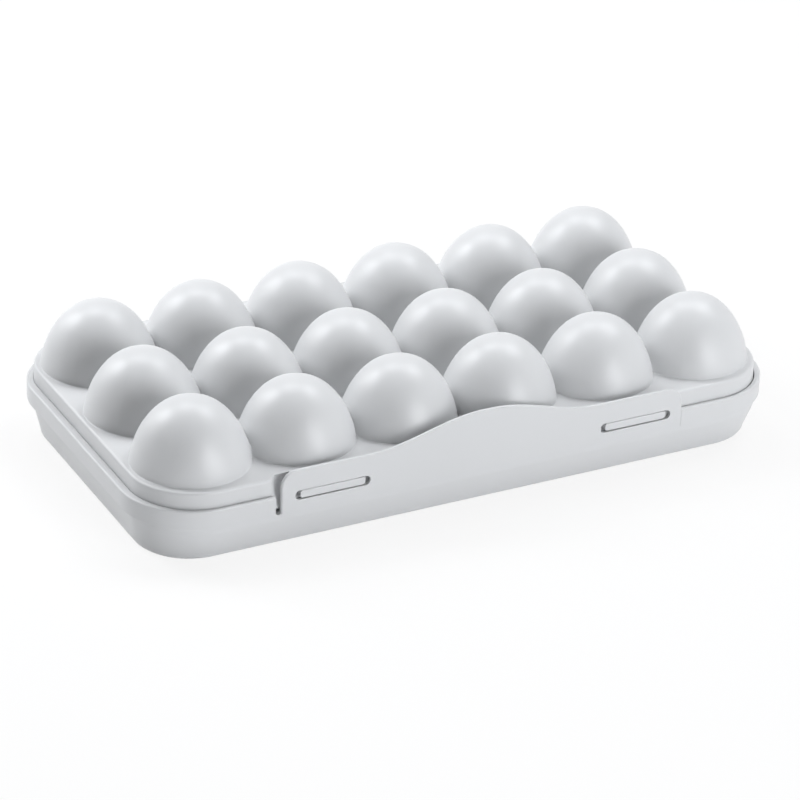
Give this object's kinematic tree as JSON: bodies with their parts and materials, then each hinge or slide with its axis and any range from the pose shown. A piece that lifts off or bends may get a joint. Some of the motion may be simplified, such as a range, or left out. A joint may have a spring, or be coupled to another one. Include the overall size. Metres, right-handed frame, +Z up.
{
  "type": "egg storage box",
  "caption": "Flat egg keeper with a cup tray in a tapered base, a hinged lid of egg-shaped domes and a springy front tongue that snaps over ribs of the lid.",
  "frame": {"origin": "centre of the base's underside, on the surface that the box stands on", "axes": "+X along the six columns of cells, -Y towards the latch tongue, +Z up"},
  "size_m": [0.3162, 0.1727, 0.0647],
  "materials": {
    "satin_grey": "light cool grey polypropylene with a soft satin sheen",
    "tray_grey": "slightly paler grey polypropylene, satin"
  },
  "bodies": {
    "base": {"base_tray": "satin_grey", "egg_cup_tray": "tray_grey"},
    "lid": {"domed_lid": "satin_grey"},
    "latch": {"latch_tongue": "satin_grey"}
  },
  "joints": [
    {"name": "lid_hinge", "type": "hinge", "parent": "base", "child": "lid", "pos_m": [0, 0.0865, 0.027], "axis": [-1, 0, 0], "range_deg": [0, 175]},
    {"name": "latch_flex", "type": "hinge", "parent": "base", "child": "latch", "pos_m": [0.002, -0.0831, 0.0187], "axis": [1, 0, 0], "range_deg": [0, 12], "stiffness_Nm_per_rad": 1.2}
  ]
}
